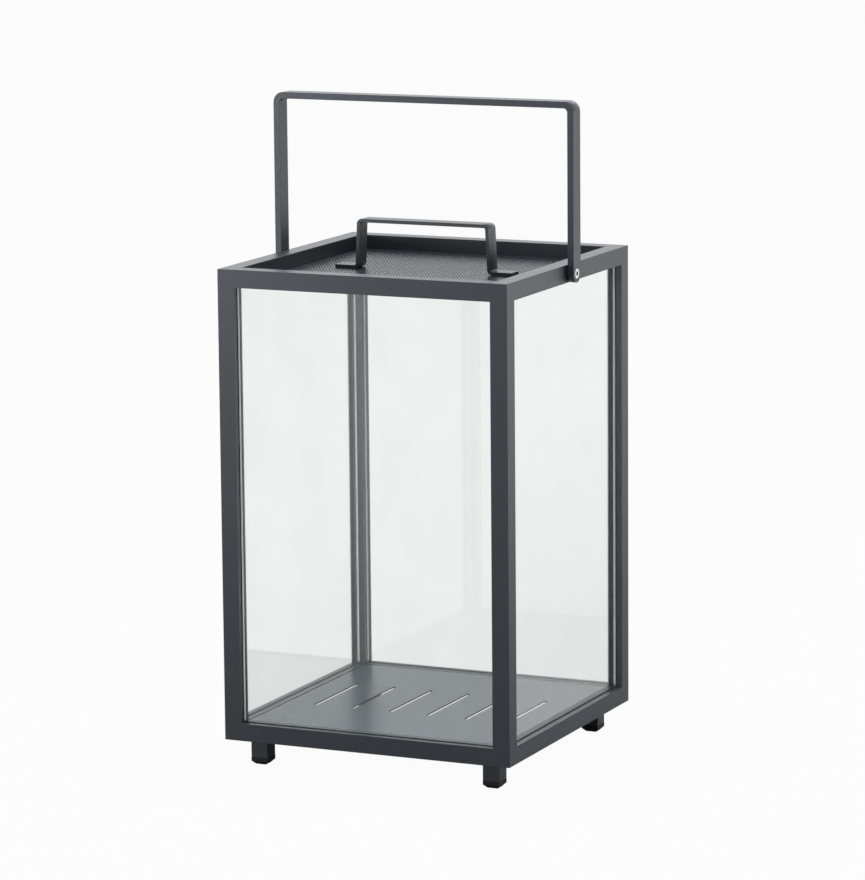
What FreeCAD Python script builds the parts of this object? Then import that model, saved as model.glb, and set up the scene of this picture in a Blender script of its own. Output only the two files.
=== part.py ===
import FreeCAD, Part
import math
import os
import Sketcher
from FreeCAD import Placement, Rotation, Vector

# Square candle lantern: a welded frame of grooved square section with four glass walls, a slotted
# base tray on short legs, a lid that lifts out of the top and a flat-bar bail that swings over it.
# Millimetres, +Z up, origin on the floor under the lantern's middle, front towards -Y.

DRIVING_SIZES = {
    # Frame: one square section for posts and rails
    "frame_width": 260,
    "frame_height": 398,
    "tube_size": 15,
    "tube_wall": 1.5,
    "edge_round": 0.4,
    # Glazing
    "glass_thickness": 3,
    "glass_entry": 3.5,
    "gasket_lip": 0.6,
    "gasket_web": 0.5,
    "gasket_proud": 0.4,
    # Base tray with its drain slots and rivets
    "tray_sheet": 1.2,
    "tray_drop": 0.1,
    "tray_flange": 13,
    "tray_bend": 1.5,
    "slot_count": 6,
    "slot_pitch": 35,
    "slot_length": 86,
    "slot_width": 3.4,
    "rivet_drop": 9,
    "rivet_shank": 3.2,
    "rivet_head": 6.5,
    "rivet_dome": 1.2,
    "rivet_tail": 4.4,
    "rivet_tail_length": 2,
    # Legs and their plastic glides
    "leg_size": 15,
    "leg_wall": 1.5,
    "leg_drop": 17,
    "glide_height": 6.5,
    "glide_chamfer": 3,
    "plug_core": 9,
    "plug_length": 11,
    "plug_rib": 1.2,
    "plug_rib_count": 3,
    # Lid, the ledges that carry it and its handle
    "lid_drop": 12,
    "lid_sheet": 1.2,
    "lid_corner": 2,
    "ledge_sheet": 1.5,
    "ledge_width": 8,
    "handle_width": 15,
    "handle_thickness": 3,
    "handle_height": 42.5,
    "handle_top_span": 120.5,
    "handle_leg_span": 124,
    "handle_reach": 162,
    "handle_bend": 1.5,
    "lid_screw_shank": 3,
    "lid_screw_head": 6,
    "lid_screw_head_height": 1.8,
    "lid_screw_grip": 2.2,
    # Bail and its pivots
    "bail_rise": 135,
    "bail_width": 15,
    "bail_thickness": 5.5,
    "bail_gap": 1.5,
    "bail_bend": 3.5,
    "screw_shank": 4,
    "screw_head": 8.5,
    "screw_socket": 3,
    "screw_socket_depth": 2,
    "insert_size": 6,
    "insert_length": 9,
    "washer_size": 13,
    # Clearances
    "fit_clearance": 0.05,
    "running_clearance": 0.08,
    "countersink_clearance": 0.3,
    "washer_clearance": 0.2,
    "plug_clearance": 0.1,
    "lid_clearance": 1,
    "lid_seat_clearance": 0.2,
}

document = FreeCAD.newDocument("candle_lantern")
sheet = document.addObject("Spreadsheet::Sheet", "Sizes")
for row, (alias, number) in enumerate(DRIVING_SIZES.items(), start=1):
    sheet.set(f"A{row}", alias)
    sheet.set(f"B{row}", str(number))
    sheet.setAlias(f"B{row}", alias)
document.recompute()


class Length:
    """A length that carries both its formula in the sheet's cells and its present number."""

    def __init__(self, formula, number):
        self.formula = str(formula)
        self.number = float(number)

    def __add__(self, other):
        other = as_length(other)
        return Length(f"({self.formula} + {other.formula})", self.number + other.number)

    def __sub__(self, other):
        other = as_length(other)
        return Length(f"({self.formula} - {other.formula})", self.number - other.number)

    def __mul__(self, factor):
        factor = as_length(factor)
        return Length(f"({self.formula} * {factor.formula})", self.number * factor.number)

    def __truediv__(self, divisor):
        divisor = as_length(divisor)
        return Length(f"({self.formula} / {divisor.formula})", self.number / divisor.number)

    def __neg__(self):
        return Length(f"(-1 * {self.formula})", -self.number)


def as_length(value):
    return value if isinstance(value, Length) else Length(value, value)


def size(alias):
    return Length(f"Sizes.{alias}", sheet.get(alias))


# Levels and planes that several pieces share
half = size("frame_width") / 2
tube = size("tube_size")
wall = size("tube_wall")
inner = half - tube
glazing_plane = half - tube / 2
groove = size("glass_thickness") / 2 + size("gasket_lip")
groove_depth = size("glass_entry") + size("gasket_web")
frame_bottom = size("leg_drop") + size("glide_height")
frame_top = frame_bottom + size("frame_height")
tray_top = frame_bottom + tube - size("tray_drop")
lid_top = frame_top - size("lid_drop")
lid_bottom = lid_top - size("lid_sheet")
pivot_height = frame_top - tube / 2
bail_outer = half + size("bail_gap") + size("bail_thickness")
foot_middle = (size("handle_reach") + size("handle_leg_span")) / 4

# Left to right and round the corner: each name is a quarter turn on from the one before
SIDES = ("front", "right", "back", "left")
CORNERS = ("front_left", "front_right", "back_right", "back_left")
QUARTER = 90
HALF_TURN = 180
PIVOT_SIDES = {"right": 0, "left": HALF_TURN}
HEXAGON = 6
TOLERANCE = 1e-4

pieces = []


# Working helpers

def new_piece(label, several_solids=False):
    """A body that becomes one named piece of the lantern."""
    body = document.addObject("PartDesign::Body", label)
    body.Label = label
    body.AllowCompound = several_solids
    pieces.append(body)
    return body


def place(body, height, turn=0, outward=None, flipped=False):
    """Turn a piece about the lantern's axis, lift it, and move it out from that axis."""
    rotation = Rotation(Vector(0, 0, 1), turn)
    if flipped:
        rotation = rotation.multiply(Rotation(Vector(0, 1, 0), HALF_TURN))
    body.Placement = Placement(Vector(), rotation)
    body.setExpression("Placement.Base.z", as_length(height).formula)
    if outward is not None:
        distance, heading = outward
        angle = math.radians(heading + turn)
        for axis, share in (("x", math.cos(angle)), ("y", math.sin(angle))):
            body.setExpression(f"Placement.Base.{axis}", (distance * round(share)).formula)


def origin_of(body, role):
    """One of the body's own planes or axes."""
    return next(part for part in body.Origin.OriginFeatures if part.Role == role), [""]


def sketch_on(body, plane, name, away=None, along=None):
    """A sketch on one of the body's own planes, moved away from it or along it."""
    sketch = body.newObject("Sketcher::SketchObject", f"{body.Name}_{name}")
    sketch.AttachmentSupport = origin_of(body, plane)
    sketch.MapMode = "FlatFace"
    if away is not None:
        sketch.setExpression("AttachmentOffset.Base.z", as_length(away).formula)
    if along is not None:
        sketch.setExpression("AttachmentOffset.Base.x", as_length(along).formula)
    return sketch


def hold(sketch, geometry, end, across=None, up=None):
    """Fix a sketch point by its coordinates, each bound to the sheet."""
    for kind, axis, value in (("DistanceX", -2, across), ("DistanceY", -1, up)):
        if value is None:
            continue
        value = as_length(value)
        if value.formula == "0":
            sketch.addConstraint(Sketcher.Constraint("PointOnObject", geometry, end, axis))
            continue
        constraint = Sketcher.Constraint(kind, -1, 1, geometry, end, value.number)
        index = sketch.addConstraint(constraint)
        sketch.setExpression(f"Constraints[{index}]", value.formula)


def outline(sketch, corners, closed=True):
    """Straight lines from corner to corner; a corner that names a centre starts an arc about it."""
    points = [Vector(as_length(corner[0]).number, as_length(corner[1]).number) for corner in corners]
    segments = []
    for index in range(len(corners) if closed else len(corners) - 1):
        begin = points[index]
        finish = points[(index + 1) % len(points)]
        if len(corners[index]) == 2:
            segments.append((sketch.addGeometry(Part.LineSegment(begin, finish)), 1, 2))
            continue
        centre = Vector(*(as_length(value).number for value in corners[index][2]))
        turn = (begin - centre).cross(finish - centre).z
        low, high = (begin, finish) if turn > 0 else (finish, begin)
        angles = [math.atan2(point.y - centre.y, point.x - centre.x) for point in (low, high)]
        circle = Part.Circle(centre, Vector(0, 0, 1), (begin - centre).Length)
        arc = sketch.addGeometry(Part.ArcOfCircle(circle, *angles))
        segments.append((arc, 1, 2) if turn > 0 else (arc, 2, 1))
    for index, (geometry, start, end) in enumerate(segments):
        if closed or index + 1 < len(segments):
            follower = segments[(index + 1) % len(segments)]
            sketch.addConstraint(Sketcher.Constraint("Coincident", geometry, end, follower[0], follower[1]))
        hold(sketch, geometry, start, *corners[index][:2])
        if len(corners[index]) == 3:
            hold(sketch, geometry, 3, across=corners[index][2][0])
    if not closed:
        hold(sketch, segments[-1][0], segments[-1][2], *corners[-1][:2])


def rectangle(sketch, low, high):
    outline(sketch, [low, (high[0], low[1]), high, (low[0], high[1])])


def square(sketch, reach):
    rectangle(sketch, (-reach, -reach), (reach, reach))


def circle(sketch, across, up, diameter):
    centre = Vector(as_length(across).number, as_length(up).number)
    ring = sketch.addGeometry(Part.Circle(centre, Vector(0, 0, 1), diameter.number / 2))
    hold(sketch, ring, 3, across, up)
    index = sketch.addConstraint(Sketcher.Constraint("Diameter", ring, diameter.number))
    sketch.setExpression(f"Constraints[{index}]", diameter.formula)


def pad(body, sketch, length, symmetric=False, backwards=False):
    feature = body.newObject("PartDesign::Pad", f"{sketch.Name}_pad")
    feature.Profile = sketch
    feature.SideType = "Symmetric" if symmetric else "One side"
    feature.Reversed = backwards
    feature.AllowMultiFace = True
    feature.setExpression("Length", length.formula)
    return feature


def pocket(body, sketch, length=None, symmetric=False, backwards=False):
    """Cut a sketch into the body, right through unless a length is given, and see that it cut."""
    document.recompute()
    before = body.Shape.Volume
    feature = body.newObject("PartDesign::Pocket", f"{sketch.Name}_cut")
    feature.Profile = sketch
    feature.SideType = "Symmetric" if symmetric else "One side"
    feature.Reversed = backwards
    feature.AllowMultiFace = True
    if length is None:
        feature.Type = "ThroughAll"
    else:
        feature.setExpression("Length", length.formula)
    document.recompute()
    if body.Shape.Volume >= before:
        raise RuntimeError(f"{feature.Name} cuts nothing")
    return feature


def revolve(body, sketch, axis):
    feature = body.newObject("PartDesign::Revolution", f"{sketch.Name}_turned")
    feature.Profile = sketch
    feature.ReferenceAxis = (sketch, [axis])
    return feature


def edges_where(feature, test):
    document.recompute()
    names = [f"Edge{number}" for number, edge in enumerate(feature.Shape.Edges, start=1) if test(edge)]
    if not names:
        raise RuntimeError(f"no edge of {feature.Name} matches")
    return names


def fillet(body, feature, test, radius):
    rounding = body.newObject("PartDesign::Fillet", f"{feature.Name}_round")
    rounding.Base = (feature, edges_where(feature, test))
    rounding.setExpression("Radius", radius.formula)
    return rounding


def chamfer(body, feature, test, depth):
    bevel = body.newObject("PartDesign::Chamfer", f"{feature.Name}_bevel")
    bevel.Base = (feature, edges_where(feature, test))
    bevel.setExpression("Size", depth.formula)
    return bevel


def line_along(edge, direction):
    if edge.Curve.TypeId != "Part::GeomLine":
        return False
    return edge.tangentAt(edge.FirstParameter).cross(direction).Length < TOLERANCE


def stands_upright(edge):
    return line_along(edge, Vector(0, 0, 1))


# Rails: hollow section with a glazing groove in the face towards the opening, rounded on the other
# side, cut to a mitre at both ends. Drawn as the front top rail, its opening side at height zero.

def rail(label, turn, flipped):
    body = new_piece(label)
    radius = size("edge_round")
    section = sketch_on(body, "YZ_Plane", "section")
    outline(section, [
        (-half, 0), (-half, tube - radius, (-half + radius, tube - radius)),
        (-half + radius, tube), (-inner - radius, tube, (-inner - radius, tube - radius)),
        (-inner, tube - radius), (-inner, 0),
        (-glazing_plane + groove, 0), (-glazing_plane + groove, groove_depth),
        (-glazing_plane - groove, groove_depth), (-glazing_plane - groove, 0),
    ])
    rectangle(section, (-half + wall, groove_depth + wall), (-inner - wall, tube - wall))
    pad(body, section, size("frame_width"), symmetric=True)

    mitre = sketch_on(body, "XY_Plane", "mitre")
    turn_centre = half - radius
    tip = turn_centre + radius * math.sqrt(0.5)
    beyond = half + tube
    within = inner - tube / 2
    for side in (-1, 1):
        outline(mitre, [
            (turn_centre * side, -half, (turn_centre * side, -turn_centre)),
            (tip * side, -tip), (within * side, -within),
            (beyond * side, -within), (beyond * side, -beyond), (turn_centre * side, -beyond),
        ])
    pocket(body, mitre, symmetric=True)

    if flipped:
        rivet_level = size("tray_drop") + size("rivet_drop")
        hole = sketch_on(body, "XZ_Plane", "rivet_hole", away=inner)
        circle(hole, 0, rivet_level, size("rivet_shank") + size("fit_clearance") * 2)
        pocket(body, hole, wall, backwards=True)
    elif SIDES[turn // QUARTER] in PIVOT_SIDES:
        bore = sketch_on(body, "XZ_Plane", "insert_bore", away=half)
        circle(bore, 0, tube / 2, size("insert_size") + size("fit_clearance") * 2)
        pocket(body, bore, size("insert_length"))
    level = frame_bottom + tube if flipped else frame_top - tube
    place(body, level, turn, flipped=flipped)


# Posts: the same section with a groove on both glazed sides, standing between the two mitred frames.

def post(label, turn):
    body = new_piece(label)
    radius = size("edge_round")
    near, far = glazing_plane - groove, glazing_plane + groove
    bottom = inner + groove_depth
    section = sketch_on(body, "XY_Plane", "section")
    outline(section, [
        (-half + radius, -half), (-inner, -half),
        (-inner, -far), (-bottom, -far), (-bottom, -near), (-inner, -near),
        (-inner, -inner),
        (-near, -inner), (-near, -bottom), (-far, -bottom), (-far, -inner),
        (-half, -inner), (-half, -half + radius, (-half + radius, -half + radius)),
    ])
    rectangle(section, (-half + wall, -half + wall), (-bottom - wall, -bottom - wall))
    pad(body, section, size("frame_height") - tube * 2)
    place(body, frame_bottom + tube, turn)


# Panes and gaskets: each pane stands in a rubber channel that fills the groove on all four sides.

pane_reach = inner + size("glass_entry")
pane_low = -size("glass_entry")
opening_height = size("frame_height") - tube * 2
pane_high = opening_height + size("glass_entry")
ON_GLAZING_PLANE = (glazing_plane, -QUARTER)


def pane(label, turn):
    body = new_piece(label)
    face = sketch_on(body, "XZ_Plane", "face")
    rectangle(face, (-pane_reach, pane_low), (pane_reach, pane_high))
    pad(body, face, size("glass_thickness"), symmetric=True)
    place(body, frame_bottom + tube, turn, ON_GLAZING_PLANE)


def gasket(label, turn):
    body = new_piece(label)
    web, proud = size("gasket_web"), size("gasket_proud")
    ring = sketch_on(body, "XZ_Plane", "ring")
    rectangle(ring, (-pane_reach - web, pane_low - web), (pane_reach + web, pane_high + web))
    rectangle(ring, (-inner + proud, proud), (inner - proud, opening_height - proud))
    pad(body, ring, groove * 2, symmetric=True)
    seat = sketch_on(body, "XZ_Plane", "glass_seat")
    rectangle(seat, (-pane_reach, pane_low), (pane_reach, pane_high))
    pocket(body, seat, size("glass_thickness"), symmetric=True)
    place(body, frame_bottom + tube, turn, ON_GLAZING_PLANE)


# Ledges: flat strips inside the top rails, each butted against the next, with the lid lying on them.

def ledge(label, turn):
    body = new_piece(label)
    width = size("ledge_width")
    strip = sketch_on(body, "XY_Plane", "strip")
    rectangle(strip, (-inner, -inner), (inner - width, -inner + width))
    pad(body, strip, size("ledge_sheet"))
    place(body, lid_bottom - size("lid_seat_clearance") - size("ledge_sheet"), turn)


# Base tray: sheet folded down on four sides, one rivet a side to the bottom rails, six drain slots.

def base_tray():
    body = new_piece("base_tray")
    sheet_thickness, flange = size("tray_sheet"), size("tray_flange")
    plate = sketch_on(body, "XY_Plane", "plate")
    square(plate, inner)
    block = pad(body, plate, flange, backwards=True)

    def bend_line(edge):
        return abs(edge.BoundBox.ZMin) < TOLERANCE

    fillet(body, block, bend_line, size("tray_bend"))
    hollow = sketch_on(body, "XY_Plane", "hollow", away=-flange)
    square(hollow, inner - sheet_thickness)
    pocket(body, hollow, flange - sheet_thickness, backwards=True)
    for plane in ("XZ_Plane", "YZ_Plane"):
        holes = sketch_on(body, plane, f"rivet_holes_{plane[:2]}")
        circle(holes, 0, -size("rivet_drop"), size("rivet_shank") + size("fit_clearance") * 2)
        pocket(body, holes, symmetric=True)

    row_length = size("slot_pitch") * (size("slot_count") - 1)
    radius = size("slot_width") / 2
    first = -row_length / 2
    end = size("slot_length") / 2
    slot = sketch_on(body, "XY_Plane", "slot")
    outline(slot, [
        (first - radius, -end + radius, (first, -end + radius)),
        (first, -end, (first, -end + radius)), (first + radius, -end + radius),
        (first + radius, end - radius, (first, end - radius)),
        (first, end, (first, end - radius)), (first - radius, end - radius),
    ])
    cut = pocket(body, slot)
    pattern = body.newObject("PartDesign::LinearPattern", "base_tray_slot_row")
    pattern.Originals = [cut]
    pattern.Direction = (slot, ["H_Axis"])
    pattern.setExpression("Length", row_length.formula)
    pattern.setExpression("Occurrences", size("slot_count").formula)
    body.Tip = pattern
    place(body, tray_top)


# Tray rivets: a domed head inside the flange, the shank through flange and rail, the tail set behind.

def tray_rivets():
    body = new_piece("tray_rivets", several_solids=True)
    seat = -inner + size("tray_sheet")
    dome = seat + size("rivet_dome")
    grip_end = -inner - wall
    tail_end = grip_end - size("rivet_tail_length")
    shank, head, tail = (size(name) / 2 for name in ("rivet_shank", "rivet_head", "rivet_tail"))
    profile = sketch_on(body, "XY_Plane", "profile")
    outline(profile, [
        (0, dome), (head / 2, dome), (head, seat), (shank, seat), (shank, grip_end),
        (tail, grip_end), (tail, tail_end), (0, tail_end),
    ])
    pattern = body.newObject("PartDesign::PolarPattern", "tray_rivets_round")
    pattern.Originals = [revolve(body, profile, "V_Axis")]
    pattern.Axis = origin_of(body, "Z_Axis")
    pattern.Occurrences = len(SIDES)
    body.Tip = pattern
    place(body, tray_top - size("rivet_drop"))


# Legs and glides: square tube up to the tray's underside in its corners, closed by a ribbed plug.

leg_outer = inner - size("tray_sheet")
leg_inner = leg_outer - size("leg_size")
leg_middle = leg_outer - size("leg_size") / 2
plug_reach = size("leg_size") / 2 - size("leg_wall") - size("plug_clearance")


def leg(label, turn):
    body = new_piece(label)
    section = sketch_on(body, "XY_Plane", "section")
    rectangle(section, (-leg_outer, -leg_outer), (-leg_inner, -leg_inner))
    leg_wall = size("leg_wall")
    bore_outer, bore_inner = leg_outer - leg_wall, leg_inner + leg_wall
    rectangle(section, (-bore_outer, -bore_outer), (-bore_inner, -bore_inner))
    stock = pad(body, section, tray_top - size("tray_sheet") - size("glide_height"))

    def outer_corner(edge):
        from_middle = abs(edge.BoundBox.XMin + leg_middle.number)
        return stands_upright(edge) and abs(from_middle - size("leg_size").number / 2) < TOLERANCE

    fillet(body, stock, outer_corner, size("edge_round"))
    place(body, size("glide_height"), turn)


def glide(label, turn):
    body = new_piece(label)
    foot = sketch_on(body, "XY_Plane", "foot")
    rectangle(foot, (-leg_outer, -leg_outer), (-leg_inner, -leg_inner))
    block = pad(body, foot, size("glide_height"))
    chamfer(body, block, lambda edge: abs(edge.BoundBox.ZMax) < TOLERANCE, size("glide_chamfer"))

    def plug(name, reach, level, height):
        stem = sketch_on(body, "XY_Plane", name, away=level)
        outer, within = leg_middle + reach, leg_middle - reach
        rectangle(stem, (-outer, -outer), (-within, -within))
        return pad(body, stem, height)

    plug("plug", size("plug_core") / 2, size("glide_height"), size("plug_length"))
    spacing = size("plug_length") / (size("plug_rib_count") + 1)
    rib = plug("plug_rib", plug_reach, size("glide_height") + spacing, size("plug_rib"))
    pattern = body.newObject("PartDesign::LinearPattern", f"{label}_ribs")
    pattern.Originals = [rib]
    pattern.Direction = origin_of(body, "Z_Axis")
    pattern.setExpression("Length", (spacing * (size("plug_rib_count") - 1)).formula)
    pattern.setExpression("Occurrences", size("plug_rib_count").formula)
    body.Tip = pattern
    place(body, 0, turn)


# Bail pivots: a threaded bush in the rail, a washer on its face and a countersunk socket screw
# through the bail. Drawn on the right side, with the local X axis along the pivot.

def pivot_insert(label, turn):
    body = new_piece(label)
    ring = sketch_on(body, "YZ_Plane", "ring")
    circle(ring, 0, 0, size("insert_size"))
    circle(ring, 0, 0, size("screw_shank") + size("fit_clearance") * 2)
    pad(body, ring, size("insert_length"), backwards=True)
    place(body, pivot_height, turn, (half, 0))


def pivot_washer(label, turn):
    body = new_piece(label)
    ring = sketch_on(body, "YZ_Plane", "ring")
    circle(ring, 0, 0, size("washer_size"))
    circle(ring, 0, 0, size("screw_shank") + size("fit_clearance") * 2)
    pad(body, ring, size("bail_gap") - size("washer_clearance"))
    place(body, pivot_height, turn, (half, 0))


def pivot_screw(label, turn):
    body = new_piece(label)
    head, shank = size("screw_head") / 2, size("screw_shank") / 2
    tip = -(size("bail_thickness") + size("bail_gap") + size("insert_length") - wall)
    profile = sketch_on(body, "XZ_Plane", "profile")
    outline(profile, [(0, 0), (0, head), (shank - head, shank), (tip, shank), (tip, 0)])
    revolve(body, profile, "H_Axis")
    socket = sketch_on(body, "YZ_Plane", "socket")
    half_step = math.pi / HEXAGON
    to_corner = size("screw_socket") / (2 * math.cos(half_step))
    angles = [half_step * (2 * corner + 1) for corner in range(HEXAGON)]
    outline(socket, [(to_corner * math.cos(angle), to_corner * math.sin(angle)) for angle in angles])
    pocket(body, socket, size("screw_socket_depth"))
    place(body, pivot_height, turn, (bail_outer, 0))


# Bail: flat bar bent to a U across its thin side, its ends rounded about the countersunk pivot holes.

def bail():
    body = new_piece("bail")
    width, thickness = size("bail_width"), size("bail_thickness")
    line = bail_outer - thickness / 2
    bend = size("bail_bend") + thickness / 2
    low_end = pivot_height - width / 2
    height = frame_top + size("bail_rise") - thickness / 2 - low_end
    route = sketch_on(body, "XZ_Plane", "route")
    outline(route, [
        (-line, 0), (-line, height - bend, (-line + bend, height - bend)),
        (-line + bend, height), (line - bend, height, (line - bend, height - bend)),
        (line, height - bend), (line, 0),
    ], closed=False)
    section = sketch_on(body, "XY_Plane", "section")
    within = bail_outer - thickness
    rectangle(section, (-bail_outer, -width / 2), (-within, width / 2))
    document.recompute()
    bar = body.newObject("PartDesign::AdditivePipe", "bail_bar")
    bar.Profile = section
    bar.Spine = (route, [f"Edge{number}" for number in range(1, len(route.Shape.Edges) + 1)])

    ends = sketch_on(body, "YZ_Plane", "round_ends")
    radius = width / 2
    outline(ends, [
        (-radius, radius, (0, radius)), (0, 0, (0, radius)), (radius, radius),
        (width, radius), (width, -radius), (-width, -radius), (-width, radius),
    ])
    pocket(body, ends, symmetric=True)
    bores = sketch_on(body, "YZ_Plane", "pivot_bores")
    bore = size("screw_shank") + size("running_clearance") * 2
    circle(bores, 0, radius, bore)
    drilled = pocket(body, bores, symmetric=True)

    def bore_mouth(edge):
        on_outer_face = abs(abs(edge.BoundBox.Center.x) - bail_outer.number) < TOLERANCE
        return on_outer_face and edge.Curve.TypeId == "Part::GeomCircle" and edge.Closed

    mouth = size("screw_head") + size("countersink_clearance") * 2
    body.Tip = chamfer(body, drilled, bore_mouth, (mouth - bore) / 2)
    place(body, low_end)


# Lid: a flat sheet on the ledges with a bent-strip handle, held by two screws from below.

def lid_sheet():
    body = new_piece("lid_sheet")
    plate = sketch_on(body, "XY_Plane", "plate")
    square(plate, inner - size("lid_clearance"))
    flat = pad(body, plate, size("lid_sheet"))
    fillet(body, flat, stands_upright, size("lid_corner"))
    holes = sketch_on(body, "XY_Plane", "screw_holes")
    for side in (-1, 1):
        circle(holes, foot_middle * side, 0, size("lid_screw_shank") + size("fit_clearance") * 2)
    pocket(body, holes, symmetric=True)
    place(body, lid_bottom)


def lid_handle():
    body = new_piece("lid_handle")
    thickness, height = size("handle_thickness"), size("handle_height")
    top_reach = size("handle_top_span") / 2
    leg_reach = size("handle_leg_span") / 2
    foot_reach = size("handle_reach") / 2
    lean = (leg_reach - top_reach) / (height - thickness)
    within_top, within_leg = top_reach - thickness, leg_reach + lean * thickness - thickness
    underside = height - thickness
    side_view = sketch_on(body, "XZ_Plane", "side_view")
    outline(side_view, [
        (-foot_reach, 0), (-within_leg, 0), (-within_top, underside),
        (within_top, underside), (within_leg, 0), (foot_reach, 0),
        (foot_reach, thickness), (leg_reach, thickness), (top_reach, height),
        (-top_reach, height), (-leg_reach, thickness), (-foot_reach, thickness),
    ])
    strip = pad(body, side_view, size("handle_width"), symmetric=True)

    def at(*corners):
        places = [(reach.number, as_length(level).number) for reach, level in corners]

        def test(edge):
            middle = edge.BoundBox.Center
            spot = (abs(middle.x), middle.z)
            crosses = line_along(edge, Vector(0, 1, 0))
            return crosses and any(math.dist(spot, corner) < TOLERANCE for corner in places)
        return test

    inside_bends = at((leg_reach, thickness), (within_top, underside))
    outside_bends = at((within_leg, 0), (top_reach, height))
    bent = fillet(body, strip, inside_bends, size("handle_bend"))
    fillet(body, bent, outside_bends, size("handle_bend") + thickness)
    holes = sketch_on(body, "XY_Plane", "screw_holes")
    for side in (-1, 1):
        circle(holes, foot_middle * side, 0, size("lid_screw_shank") + size("fit_clearance") * 2)
    pocket(body, holes, size("lid_screw_grip") + size("fit_clearance"), backwards=True)
    place(body, lid_top)


def lid_screws():
    body = new_piece("lid_screws", several_solids=True)
    shank, head = size("lid_screw_shank") / 2, size("lid_screw_head") / 2
    depth = size("lid_screw_head_height")
    tip = size("lid_sheet") + size("lid_screw_grip")
    profile = sketch_on(body, "XZ_Plane", "profile", along=foot_middle)
    outline(profile, [(0, -depth), (head, -depth), (head, 0), (shank, 0), (shank, tip), (0, tip)])
    turned = revolve(body, profile, "V_Axis")
    pair = body.newObject("PartDesign::Mirrored", "lid_screws_pair")
    pair.Originals = [turned]
    pair.MirrorPlane = origin_of(body, "YZ_Plane")
    body.Tip = pair
    place(body, lid_bottom)


# The lantern, put together from the frame outwards

for step, side in enumerate(SIDES):
    rail(f"top_rail_{side}", step * QUARTER, flipped=False)
    rail(f"bottom_rail_{side}", step * QUARTER, flipped=True)
    pane(f"glass_{side}", step * QUARTER)
    gasket(f"gasket_{side}", step * QUARTER)
    ledge(f"lid_ledge_{side}", step * QUARTER)
for step, corner in enumerate(CORNERS):
    post(f"post_{corner}", step * QUARTER)
    leg(f"leg_{corner}", step * QUARTER)
    glide(f"glide_{corner}", step * QUARTER)
base_tray()
tray_rivets()
for side, turn in PIVOT_SIDES.items():
    pivot_insert(f"pivot_insert_{side}", turn)
    pivot_washer(f"pivot_washer_{side}", turn)
    pivot_screw(f"pivot_screw_{side}", turn)
bail()
lid_sheet()
lid_handle()
lid_screws()

# Nothing is written unless every feature and every piece came out sound
document.recompute()
failed = [item.Label for item in document.Objects if {"Invalid", "Error"} & set(item.State)]
failed += [piece.Label for piece in pieces if piece.Shape.isNull() or not piece.Shape.isValid()]
if failed:
    raise RuntimeError(f"these came out unsound: {failed}")
os.makedirs("parts", exist_ok=True)
for piece in pieces:
    piece.Shape.exportStep(f"parts/{piece.Label}.step")
    box = piece.Shape.BoundBox
    print(f"{piece.Label:22s} solids {len(piece.Shape.Solids)}  volume {piece.Shape.Volume:10.1f}  "
          f"x {box.XMin:.2f} to {box.XMax:.2f}, y {box.YMin:.2f} to {box.YMax:.2f}, "
          f"z {box.ZMin:.2f} to {box.ZMax:.2f}")
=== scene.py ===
import bmesh
import bpy
import math
from mathutils import Matrix, Vector


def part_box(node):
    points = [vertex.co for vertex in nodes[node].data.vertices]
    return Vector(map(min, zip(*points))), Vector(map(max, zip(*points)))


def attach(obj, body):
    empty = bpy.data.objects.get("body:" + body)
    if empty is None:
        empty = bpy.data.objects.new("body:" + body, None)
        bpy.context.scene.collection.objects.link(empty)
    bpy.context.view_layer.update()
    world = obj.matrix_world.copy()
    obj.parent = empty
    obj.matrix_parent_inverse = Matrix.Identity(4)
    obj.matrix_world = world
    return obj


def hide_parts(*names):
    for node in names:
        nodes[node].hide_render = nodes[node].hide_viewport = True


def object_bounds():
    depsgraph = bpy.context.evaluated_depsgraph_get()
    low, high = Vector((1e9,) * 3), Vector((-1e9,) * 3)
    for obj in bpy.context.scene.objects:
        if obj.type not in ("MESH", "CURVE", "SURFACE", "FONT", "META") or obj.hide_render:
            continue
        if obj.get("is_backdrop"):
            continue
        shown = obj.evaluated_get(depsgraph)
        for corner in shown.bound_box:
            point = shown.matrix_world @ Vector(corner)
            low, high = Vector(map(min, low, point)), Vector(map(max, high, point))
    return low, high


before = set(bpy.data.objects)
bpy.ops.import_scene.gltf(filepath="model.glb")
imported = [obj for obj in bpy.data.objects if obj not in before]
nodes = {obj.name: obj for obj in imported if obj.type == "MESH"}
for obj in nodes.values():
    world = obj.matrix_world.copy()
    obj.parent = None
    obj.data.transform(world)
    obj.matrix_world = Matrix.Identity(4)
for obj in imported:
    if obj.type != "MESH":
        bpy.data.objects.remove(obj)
cad_low, cad_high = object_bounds()


# Posts and rails
# Aluminium section of 15 mm with a glazing groove, mitred, welded and ground flush at the corners.
# A satin charcoal powder coat covers the joints; it has a fine orange peel and a faint cloudiness.

SIDES = ("front", "right", "back", "left")
CORNERS = ("front_left", "front_right", "back_right", "back_left")
MM = 0.001
NOISE_LOW = 0.3
NOISE_HIGH = 0.7


def new_finish(name):
    material = bpy.data.materials.new(name)
    material.use_nodes = True
    return material, material.node_tree, material.node_tree.nodes["Principled BSDF"]


def noise(tree, feature, detail):
    """Cloudy noise fixed to the object, with features of about this size in metres."""
    place = tree.nodes.new("ShaderNodeTexCoord")
    texture = tree.nodes.new("ShaderNodeTexNoise")
    texture.inputs["Scale"].default_value = 1 / feature
    texture.inputs["Detail"].default_value = detail
    tree.links.new(place.outputs["Object"], texture.inputs["Vector"])
    return texture.outputs["Fac"]


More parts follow.
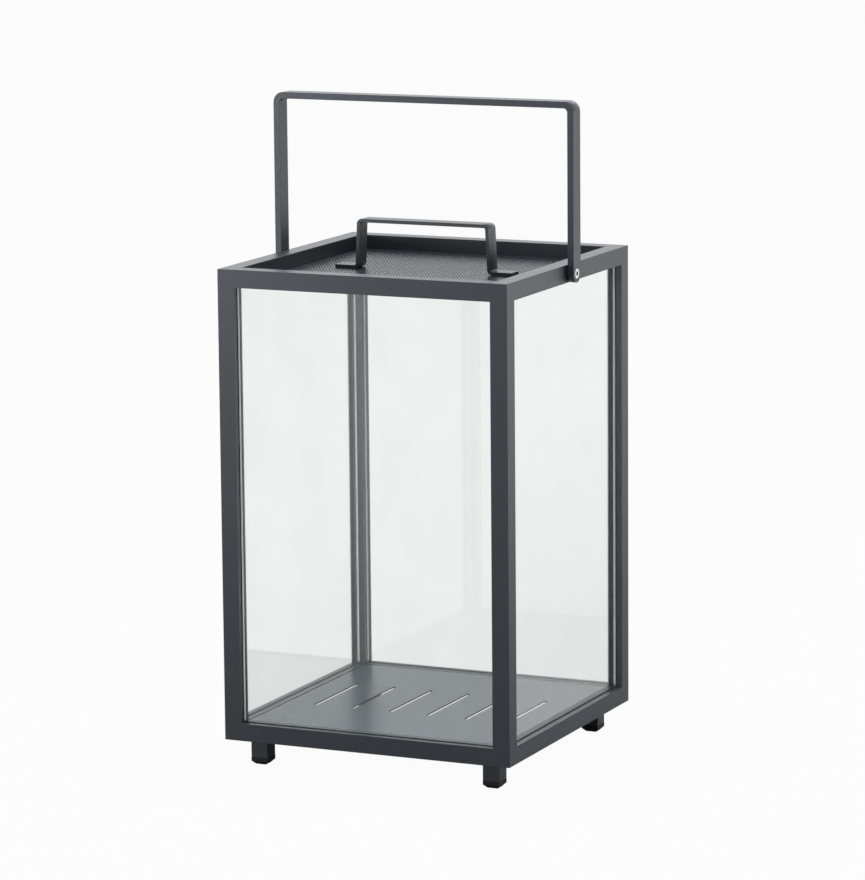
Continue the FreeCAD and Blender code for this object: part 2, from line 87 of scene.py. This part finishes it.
def between(tree, factor, low, high, start=NOISE_LOW, end=NOISE_HIGH):
    """A factor, such as the noise's usual swing, spread from one number to another."""
    spread = tree.nodes.new("ShaderNodeMapRange")
    spread.inputs["From Min"].default_value = start
    spread.inputs["From Max"].default_value = end
    spread.inputs["To Min"].default_value = low
    spread.inputs["To Max"].default_value = high
    tree.links.new(factor, spread.inputs["Value"])
    return spread.outputs["Result"]


def tones(tree, factor, dark, light):
    """The noise's usual swing, spread from one colour to another."""
    ramp = tree.nodes.new("ShaderNodeValToRGB")
    for stop, position, colour in zip(ramp.color_ramp.elements, (NOISE_LOW, NOISE_HIGH), (dark, light)):
        stop.position = position
        stop.color = (*colour, 1)
    tree.links.new(factor, ramp.inputs["Fac"])
    return ramp.outputs["Color"]


def bump(tree, height, depth):
    relief = tree.nodes.new("ShaderNodeBump")
    relief.inputs["Distance"].default_value = depth
    relief.inputs["Strength"].default_value = 1
    tree.links.new(height, relief.inputs["Height"])
    return relief.outputs["Normal"]


def shades(colour, darkest, lightest):
    return [[channel * share for channel in colour] for share in (darkest, lightest)]


CLOUD_SIZE = 30 * MM
PEEL_SIZE = 1.4 * MM
PEEL_DEPTH = 0.012 * MM
PEEL_ROUGHNESS = 0.04


def powder_coat(name, colour, roughness, shine=0.5, peel_depth=PEEL_DEPTH):
    material, tree, shader = new_finish(name)
    clouds = noise(tree, CLOUD_SIZE, detail=4)
    peel = noise(tree, PEEL_SIZE, detail=3)
    uneven = between(tree, peel, roughness - PEEL_ROUGHNESS, roughness + PEEL_ROUGHNESS)
    tree.links.new(tones(tree, clouds, *shades(colour, 0.93, 1.07)), shader.inputs["Base Color"])
    tree.links.new(uneven, shader.inputs["Roughness"])
    tree.links.new(bump(tree, peel, peel_depth), shader.inputs["Normal"])
    shader.inputs["Specular IOR Level"].default_value = shine
    shader.inputs["Specular Tint"].default_value = (0.85, 0.93, 1, 1)
    shader.inputs["Sheen Weight"].default_value = 0.12
    shader.inputs["Sheen Roughness"].default_value = 0.3
    shader.inputs["Sheen Tint"].default_value = (0.4, 0.7, 1, 1)
    return material


def wear(node, material):
    nodes[node].data.materials.clear()
    nodes[node].data.materials.append(material)


CHARCOAL = (0.0215, 0.0255, 0.0315)
CHARCOAL_ROUGHNESS = 0.38
charcoal = powder_coat("charcoal_coat", CHARCOAL, CHARCOAL_ROUGHNESS)
for side in SIDES:
    wear(f"top_rail_{side}", charcoal)
    wear(f"bottom_rail_{side}", charcoal)
for corner in CORNERS:
    wear(f"post_{corner}", charcoal)


# Glass walls
# Clear float glass, 3 mm thick, with a faint green-grey tint and ground, arrised edges that sit in the
# gasket. Wiped but not spotless: very faint streaks.

STREAK_SIZE = 60 * MM
STREAKED_TINT = (0.91, 0.935, 0.925)
WIPED_TINT = (0.94, 0.955, 0.95)
SHADOW_TINT = (0.92, 0.94, 0.935, 1)


def clear_glass():
    material, tree, shader = new_finish("clear_glass")
    streaks = noise(tree, STREAK_SIZE, detail=3)
    tree.links.new(tones(tree, streaks, STREAKED_TINT, WIPED_TINT), shader.inputs["Base Color"])
    shader.inputs["Roughness"].default_value = 0
    shader.inputs["IOR"].default_value = 1.5
    shader.inputs["Transmission Weight"].default_value = 1
    path = tree.nodes.new("ShaderNodeLightPath")
    lets_light_by = tree.nodes.new("ShaderNodeBsdfTransparent")
    lets_light_by.inputs["Color"].default_value = SHADOW_TINT
    either = tree.nodes.new("ShaderNodeMixShader")
    tree.links.new(path.outputs["Is Shadow Ray"], either.inputs["Fac"])
    tree.links.new(shader.outputs["BSDF"], either.inputs[1])
    tree.links.new(lets_light_by.outputs["BSDF"], either.inputs[2])
    tree.links.new(either.outputs["Shader"], tree.nodes["Material Output"].inputs["Surface"])
    return material


GRIND_SIZE = 0.8 * MM
GRIND_DEPTH = 0.05 * MM
GRIND_DARK = (0.25, 0.36, 0.33)
GRIND_LIGHT = (0.38, 0.5, 0.46)


def ground_edge():
    material, tree, shader = new_finish("ground_glass_edge")
    grain = noise(tree, GRIND_SIZE, detail=2)
    tree.links.new(tones(tree, grain, GRIND_DARK, GRIND_LIGHT), shader.inputs["Base Color"])
    tree.links.new(bump(tree, grain, GRIND_DEPTH), shader.inputs["Normal"])
    shader.inputs["Roughness"].default_value = 0.55
    return material


scene = bpy.context.scene


def add_piece(name, mesh, material):
    data = bpy.data.meshes.new(name)
    mesh.to_mesh(data)
    mesh.free()
    data.materials.append(material)
    piece = bpy.data.objects.new(name, data)
    scene.collection.objects.link(piece)
    return piece


PANE_CLEARANCE = 0.05 * MM
ARRIS = 0.35 * MM
glass = clear_glass()
glass_edge = ground_edge()
for side in SIDES:
    low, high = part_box(f"glass_{side}")
    clearance = Vector((PANE_CLEARANCE, PANE_CLEARANCE, PANE_CLEARANCE))
    block = bmesh.new()
    bmesh.ops.create_cube(block, size=1)
    bmesh.ops.scale(block, vec=high - low - 2 * clearance, verts=block.verts)
    bmesh.ops.translate(block, vec=(low + high) / 2, verts=block.verts)
    bmesh.ops.bevel(block, geom=block.edges[:], offset=ARRIS, segments=1, affect="EDGES")
    widest = max(face.calc_area() for face in block.faces)
    for face in block.faces:
        face.material_index = int(face.calc_area() < widest / 2)
    pane = add_piece(f"pane_{side}", block, glass)
    pane.data.materials.append(glass_edge)
    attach(pane, "frame")
    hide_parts(f"glass_{side}")


# Glazing gaskets
# Grey silicone rubber channel round the edge of each pane, pressed into the groove. It stays pale inside
# and under the glass; the outer lip and the bottom run are painted black as shade and lose their shine.

# Black of the shade painted on the gaskets' outer lips and bottom runs
GASKET_SHADE_COLOUR = (0.004, 0.004, 0.0045, 1)
RUBBER_DARK = (0.84, 0.87, 0.87)
RUBBER_LIGHT = (0.92, 0.94, 0.94)
BLOOM_SIZE = 4 * MM
SHADE_RAMP_START = 0.05 * MM
SHADE_RAMP_FULL = 0.15 * MM
BOTTOM_SHADE_HEIGHT = 3 * MM


def combined(tree, operation, first, second):
    result = tree.nodes.new("ShaderNodeMath")
    result.operation = operation
    tree.links.new(first, result.inputs[0])
    tree.links.new(second, result.inputs[1])
    return result.outputs["Value"]


def silicone_rubber(name, outward, glass_face, rail_top):
    """Rubber painted black as shade beyond the glass's outer face, measured outward, and just above the
    rail.
    """
    material, tree, shader = new_finish(name)
    place = tree.nodes.new("ShaderNodeTexCoord")
    level = tree.nodes.new("ShaderNodeSeparateXYZ")
    depth = tree.nodes.new("ShaderNodeVectorMath")
    depth.operation = "DOT_PRODUCT"
    depth.inputs[1].default_value = outward
    tree.links.new(place.outputs["Object"], level.inputs["Vector"])
    tree.links.new(place.outputs["Object"], depth.inputs[0])
    lip_start, lip_full = glass_face + SHADE_RAMP_START, glass_face + SHADE_RAMP_FULL
    # Painted shade: black, with little shine, on the outer lip and along the bottom run
    unshaded_inside = between(tree, depth.outputs["Value"], 1, 0, lip_start, lip_full)
    unshaded_above_rail = between(tree, level.outputs["Z"], 0, 1, rail_top, rail_top + BOTTOM_SHADE_HEIGHT)
    unshaded = combined(tree, "MINIMUM", unshaded_inside, unshaded_above_rail)
    bloom = noise(tree, BLOOM_SIZE, detail=3)
    colour = tree.nodes.new("ShaderNodeMix")
    colour.data_type = "RGBA"
    colour.inputs["A"].default_value = GASKET_SHADE_COLOUR
    tree.links.new(unshaded, colour.inputs["Factor"])
    tree.links.new(tones(tree, bloom, RUBBER_DARK, RUBBER_LIGHT), colour.inputs["B"])
    tree.links.new(colour.outputs["Result"], shader.inputs["Base Color"])
    tree.links.new(between(tree, bloom, 0.3, 0.4), shader.inputs["Roughness"])
    tree.links.new(between(tree, unshaded, 0.05, 0.5, start=0, end=1), shader.inputs["Specular IOR Level"])
    shader.inputs["IOR"].default_value = 1.41
    return material


rail_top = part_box("bottom_rail_front")[1].z
for side in SIDES:
    low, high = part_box(f"glass_{side}")
    pane_middle = (low + high) / 2
    outward = Vector((pane_middle.x, pane_middle.y, 0)).normalized()
    half_glass = min(high.x - low.x, high.y - low.y) / 2
    glass_face = pane_middle.dot(outward) + half_glass
    wear(f"gasket_{side}", silicone_rubber(f"grey_gasket_{side}", outward, glass_face, rail_top))


# Base tray
# Folded aluminium sheet with six drain slots, coated like the frame but smoother, so that the flat
# plate mirrors the posts softly. Four bare aluminium rivets hold its flanges to the bottom rails.

TRAY_CHARCOAL = (0.025, 0.03, 0.037)
TRAY_PEEL_DEPTH = 0.004 * MM
BARE_ALUMINIUM = (0.6, 0.61, 0.62)
TOOL_LINE_SIZE = 0.35 * MM
TOOL_LINE_DEPTH = 0.01 * MM


def turned_metal(name, colour, roughness):
    material, tree, shader = new_finish(name)
    lines = noise(tree, TOOL_LINE_SIZE, detail=2)
    tree.links.new(tones(tree, lines, *shades(colour, 0.88, 1.05)), shader.inputs["Base Color"])
    tree.links.new(between(tree, lines, roughness - 0.06, roughness + 0.08), shader.inputs["Roughness"])
    tree.links.new(bump(tree, lines, TOOL_LINE_DEPTH), shader.inputs["Normal"])
    shader.inputs["Metallic"].default_value = 1
    return material


tray_coat = powder_coat("tray_coat", TRAY_CHARCOAL, 0.3, shine=0.32, peel_depth=TRAY_PEEL_DEPTH)
wear("base_tray", tray_coat)
wear("tray_rivets", turned_metal("bare_aluminium", BARE_ALUMINIUM, roughness=0.35))


# Legs and glides
# Short square tubes welded into the tray's corners, coated with the frame, each closed by a black
# plastic plug whose chamfered foot is the glide.

GRAIN_SIZE = 0.6 * MM
GRAIN_DEPTH = 0.03 * MM
PLASTIC_DARK = (0.004, 0.004, 0.0045)
PLASTIC_LIGHT = (0.007, 0.007, 0.008)


def moulded_plastic():
    material, tree, shader = new_finish("black_plastic")
    grain = noise(tree, GRAIN_SIZE, detail=3)
    tree.links.new(tones(tree, grain, PLASTIC_DARK, PLASTIC_LIGHT), shader.inputs["Base Color"])
    tree.links.new(between(tree, grain, 0.5, 0.62), shader.inputs["Roughness"])
    tree.links.new(bump(tree, grain, GRAIN_DEPTH), shader.inputs["Normal"])
    shader.inputs["Specular IOR Level"].default_value = 0.3
    return material


plastic = moulded_plastic()
for corner in CORNERS:
    wear(f"leg_{corner}", charcoal)
    wear(f"glide_{corner}", plastic)


# Bail pivots
# On each side a stainless countersunk socket screw runs through the bail and a plastic washer into a
# threaded bush in the top rail. The hexagon socket is painted black as shade.

STAINLESS = (0.68, 0.68, 0.67)
STAINLESS_ROUGHNESS = 0.28
SOCKET_RADIUS = 1.95 * MM
SHADE_BLUR = 0.15 * MM


def paint_shade_near(material, axis, radius):
    """Paint shade: blacken what lies this close to an axis along X, and take the shine off it."""
    tree = material.node_tree
    shader = tree.nodes["Principled BSDF"]
    place = tree.nodes.new("ShaderNodeTexCoord")
    offset = tree.nodes.new("ShaderNodeVectorMath")
    offset.operation = "MULTIPLY_ADD"
    offset.inputs[1].default_value = (0, 1, 1)
    offset.inputs[2].default_value = (0, -axis.y, -axis.z)
    distance = tree.nodes.new("ShaderNodeVectorMath")
    distance.operation = "LENGTH"
    tree.links.new(place.outputs["Object"], offset.inputs[0])
    tree.links.new(offset.outputs["Vector"], distance.inputs[0])
    unshaded = between(tree, distance.outputs["Value"], 0.02, 1, radius - SHADE_BLUR, radius + SHADE_BLUR)
    shaded = tree.nodes.new("ShaderNodeVectorMath")
    shaded.operation = "SCALE"
    colour = shader.inputs["Base Color"].links[0].from_socket
    tree.links.new(unshaded, shaded.inputs["Scale"])
    tree.links.new(colour, shaded.inputs[0])
    tree.links.new(shaded.outputs["Vector"], shader.inputs["Base Color"])
    for shine in ("Specular IOR Level", "Sheen Weight"):
        usual = shader.inputs[shine].default_value
        tree.links.new(between(tree, unshaded, 0, usual, start=0, end=1), shader.inputs[shine])


screw_low, screw_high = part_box("pivot_screw_right")
pivot = (screw_low + screw_high) / 2
stainless = turned_metal("stainless_steel", STAINLESS, STAINLESS_ROUGHNESS)
socket_head = turned_metal("socket_screw_steel", STAINLESS, STAINLESS_ROUGHNESS)
# Painted shade: the hexagon socket is blackened and loses its shine
paint_shade_near(socket_head, pivot, SOCKET_RADIUS)
for side in ("right", "left"):
    wear(f"pivot_insert_{side}", stainless)
    wear(f"pivot_screw_{side}", socket_head)
    wear(f"pivot_washer_{side}", plastic)


# Bail
# Flat aluminium bar bent to a U, ends rounded about the pivot holes, edges broken before coating. The
# countersinks, round the screw heads, are painted dark as shade.

COUNTERSINK_SHADE = 4.95 * MM
BAIL_EDGE = 0.5 * MM
SAME_POINT = 0.001 * MM
SAME_PLANE = math.radians(0.5)
SHARP_EDGE = math.radians(40)


def break_edges(node, radius):
    """The edges of a sheet or bar, dressed with a file: the faces are joined up first, then rounded."""
    joined = nodes[node].modifiers.new("joined", "WELD")
    joined.merge_threshold = SAME_POINT
    flattened = nodes[node].modifiers.new("flat", "DECIMATE")
    flattened.decimate_type = "DISSOLVE"
    flattened.angle_limit = SAME_PLANE
    rounded = nodes[node].modifiers.new("rounded", "BEVEL")
    rounded.width = radius
    rounded.segments = 2
    rounded.limit_method = "ANGLE"
    rounded.angle_limit = SHARP_EDGE
    rounded.harden_normals = True


bail_coat = powder_coat("charcoal_coat_bail", CHARCOAL, CHARCOAL_ROUGHNESS)
# Painted shade: the countersinks round the screw heads are blackened and lose their shine
paint_shade_near(bail_coat, pivot, COUNTERSINK_SHADE)
wear("bail", bail_coat)
break_edges("bail", BAIL_EDGE)


# Lid
# Finely perforated sheet, holes staggered at sixty degrees, cut to size and laid on four ledges inside
# the top rails. The bridge handle is bent strip, held by two screws from below.

LID_CHARCOAL = (0.0235, 0.0275, 0.034)
HOLE_PITCH = 2.8 * MM
HOLE_ACROSS = 1.6 * MM
PLAIN_BORDER = 5 * MM
CORNER_RADIUS = 2 * MM
CORNER_STEPS = 4
SCREW_LAND = 4 * MM
HANDLE_EDGE = 0.4 * MM
HEXAGON = 6

for side in SIDES:
    wear(f"lid_ledge_{side}", charcoal)

sheet_low, sheet_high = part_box("lid_sheet")
screws_low, screws_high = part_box("lid_screws")
screw_head = screws_high.y - screws_low.y
screw_reach = screws_high.x - screw_head / 2
field = sheet_high.x - PLAIN_BORDER
row_step = HOLE_PITCH * math.sqrt(0.75)
spoke = HOLE_ACROSS / (2 * math.cos(math.pi / HEXAGON))
spokes = []
for point in range(HEXAGON):
    angle = math.pi * (2 * point + 1) / HEXAGON
    spokes.append(Vector((spoke * math.cos(angle), spoke * math.sin(angle), 0)))

# The holes: a six-sided rim for each, closed again where a screw of the handle passes
flat = bmesh.new()
rims = {}
last_row = int(field / row_step)
for row in range(-last_row, last_row + 1):
    shift = row % 2 / 2
    last_hole = int(field / HOLE_PITCH - shift)
    for column in range(-last_hole - row % 2, last_hole + 1):
        centre = Vector(((column + shift) * HOLE_PITCH, row * row_step, sheet_high.z))
        rim = [flat.verts.new(centre + arm) for arm in spokes]
        for start, end in zip(rim, rim[1:] + rim[:1]):
            flat.edges.new((start, end))
        if math.hypot(abs(centre.x) - screw_reach, centre.y) < SCREW_LAND:
            flat.faces.new(rim)
        rims[column, row] = rim

# The metal between each hole and its neighbours to the right and in the row above
for (column, row), rim in rims.items():
    odd = row % 2
    across = rims.get((column + 1, row))
    above_right = rims.get((column + odd, row + 1))
    above_left = rims.get((column + odd - 1, row + 1))
    if across:
        flat.faces.new((rim[5], across[3], across[2], rim[0]))
    if above_right:
        flat.faces.new((rim[0], above_right[4], above_right[3], rim[1]))
    if above_left:
        flat.faces.new((rim[1], above_left[5], above_left[4], rim[2]))
    if across and above_right:
        flat.faces.new((rim[0], across[2], above_right[4]))
    if above_right and above_left:
        flat.faces.new((rim[1], above_right[3], above_left[5]))

# The plain border, filled from the outermost holes to the sheet's rounded outline
inner_rims = {frozenset(pair) for rim in rims.values() for pair in zip(rim, rim[1:] + rim[:1])}
open_edges = []
for edge in flat.edges:
    on_rim = frozenset(edge.verts) in inner_rims
    if len(edge.link_faces) == (0 if on_rim else 1):
        open_edges.append(edge)
outline = []
turn_centre = sheet_high.x - CORNER_RADIUS
for quarter, (x, y) in enumerate(((1, 1), (-1, 1), (-1, -1), (1, -1))):
    centre = Vector((x * turn_centre, y * turn_centre, sheet_high.z))
    for step in range(CORNER_STEPS + 1):
        angle = math.pi / 2 * (quarter + step / CORNER_STEPS)
        arm = CORNER_RADIUS * Vector((math.cos(angle), math.sin(angle), 0))
        outline.append(flat.verts.new(centre + arm))
for start, end in zip(outline, outline[1:] + outline[:1]):
    open_edges.append(flat.edges.new((start, end)))
bmesh.ops.triangle_fill(flat, use_beauty=True, edges=open_edges)
bmesh.ops.recalc_face_normals(flat, faces=flat.faces)
if sum(face.normal.z for face in flat.faces) < 0:
    bmesh.ops.reverse_faces(flat, faces=flat.faces)

lid_sheet = add_piece("perforated_lid", flat, powder_coat("lid_coat", LID_CHARCOAL, roughness=0.36))
thick = lid_sheet.modifiers.new("sheet", "SOLIDIFY")
thick.thickness = sheet_high.z - sheet_low.z
thick.offset = -1
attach(lid_sheet, "lid")
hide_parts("lid_sheet")

wear("lid_handle", charcoal)
break_edges("lid_handle", HANDLE_EDGE)
wear("lid_screws", stainless)


# Studio
# A pale floor, seen as white but keeping a faint shadow, and mirrored as white only away from the
# lantern, with a painted shade in its reflection near the base; a white surround, and four large soft
# lamps: low at the front left, low at the right, behind and overhead.

AMBIENT = 0.25
FLOOR_REACH = 30
FLOOR_WHITE = 0.96
FLOOR_GREY = (0.75, 0.75, 0.75, 1)
SHADED_WITHIN = 0.2
WHITE_BEYOND = 2.2


def ray_is(tree, *kinds):
    """One for a ray of any of these kinds, and nothing for other light."""
    path = tree.nodes.new("ShaderNodeLightPath")
    found = path.outputs[kinds[0]]
    for kind in kinds[1:]:
        found = combined(tree, "MAXIMUM", found, path.outputs[kind])
    return found


def white_surround():
    world = bpy.data.worlds.new("studio")
    world.use_nodes = True
    tree = world.node_tree
    background = tree.nodes["Background"]
    background.inputs["Color"].default_value = (1, 1, 1, 1)
    seen = ray_is(tree, "Is Camera Ray", "Is Glossy Ray", "Is Transmission Ray")
    strength = between(tree, seen, AMBIENT, 1, start=0, end=1)
    tree.links.new(strength, background.inputs["Strength"])
    return world


def pale_floor():
    material, tree, shader = new_finish("studio_floor")
    shader.inputs["Base Color"].default_value = FLOOR_GREY
    shader.inputs["Roughness"].default_value = 0.9
    shader.inputs["Specular IOR Level"].default_value = 0
    place = tree.nodes.new("ShaderNodeTexCoord")
    distance = tree.nodes.new("ShaderNodeVectorMath")
    distance.operation = "LENGTH"
    tree.links.new(place.outputs["Object"], distance.inputs[0])
    # Painted shade: in reflections the floor's white glow fades out towards the lantern
    glow_away_from_lantern = between(tree, distance.outputs["Value"], 0, FLOOR_WHITE, SHADED_WITHIN, WHITE_BEYOND)
    glow_away_from_lantern.node.interpolation_type = "SMOOTHSTEP"
    mirrored = combined(tree, "MULTIPLY", ray_is(tree, "Is Glossy Ray"), glow_away_from_lantern)
    looked_at = ray_is(tree, "Is Camera Ray", "Is Transmission Ray")
    seen = between(tree, looked_at, 0, FLOOR_WHITE, start=0, end=1)
    white = tree.nodes.new("ShaderNodeEmission")
    mixed = tree.nodes.new("ShaderNodeMixShader")
    tree.links.new(combined(tree, "MAXIMUM", seen, mirrored), mixed.inputs["Fac"])
    tree.links.new(shader.outputs["BSDF"], mixed.inputs[1])
    tree.links.new(white.outputs["Emission"], mixed.inputs[2])
    tree.links.new(mixed.outputs["Shader"], tree.nodes["Material Output"].inputs["Surface"])
    return material


def soft_lamp(name, place, aim, width, height, power):
    light = bpy.data.lights.new(name, "AREA")
    light.shape = "RECTANGLE"
    light.size = width
    light.size_y = height
    light.energy = power
    lamp = bpy.data.objects.new(name, light)
    lamp.location = place
    lamp.rotation_euler = (Vector(aim) - Vector(place)).to_track_quat("-Z", "Y").to_euler()
    scene.collection.objects.link(lamp)


scene.world = white_surround()
ground = bmesh.new()
bmesh.ops.create_grid(ground, x_segments=1, y_segments=1, size=FLOOR_REACH)
floor = add_piece("floor", ground, pale_floor())
floor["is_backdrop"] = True

left_post = (-0.1, -0.13, 0.45)
right_side = (0.13, 0, 0.3)
middle = (cad_low + cad_high) / 2
soft_lamp("front_left_lamp", (-1.25, -1.6, 0.4), left_post, width=0.5, height=0.4, power=9.6)
soft_lamp("right_lamp", (1.7, 0.7, 0.23), right_side, width=1.6, height=0.45, power=12.6)
soft_lamp("back_lamp", (-0.8, 2.0, 1.4), middle, width=2.4, height=1.3, power=8.4)
soft_lamp("overhead_lamp", (0, -0.25, 2.0), middle, width=1.6, height=1.6, power=11)


# Camera
# The photo's angle, found by fitting the frame's corners: a long lens, a little above the lantern.

IMAGE_HEIGHT = 880
FOCAL_LENGTH_PX = 4430.8
SENSOR = 36
FAR_LIMIT = 100
CAMERA_PLACE = (1.5292, -3.3513, 0.9087)
AZIMUTH = math.radians(24.465)
ELEVATION = math.radians(9.902)
ROLL = math.radians(-0.507)
lens = bpy.data.cameras.new("camera")
lens.sensor_width = SENSOR
lens.lens = FOCAL_LENGTH_PX / IMAGE_HEIGHT * SENSOR
lens.clip_end = FAR_LIMIT
camera = bpy.data.objects.new("camera", lens)
right = Vector((math.cos(AZIMUTH), math.sin(AZIMUTH), 0))
level_back = Vector((math.sin(AZIMUTH), -math.cos(AZIMUTH), 0))
back = level_back * math.cos(ELEVATION) + Vector((0, 0, math.sin(ELEVATION)))
up = back.cross(right)
turned = Matrix((right, up, back)).transposed() @ Matrix.Rotation(ROLL, 3, "Z")
camera.matrix_world = Matrix.Translation(CAMERA_PLACE) @ turned.to_4x4()
scene.collection.objects.link(camera)
scene.camera = camera
scene.view_settings.view_transform = "Standard"

low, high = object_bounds()
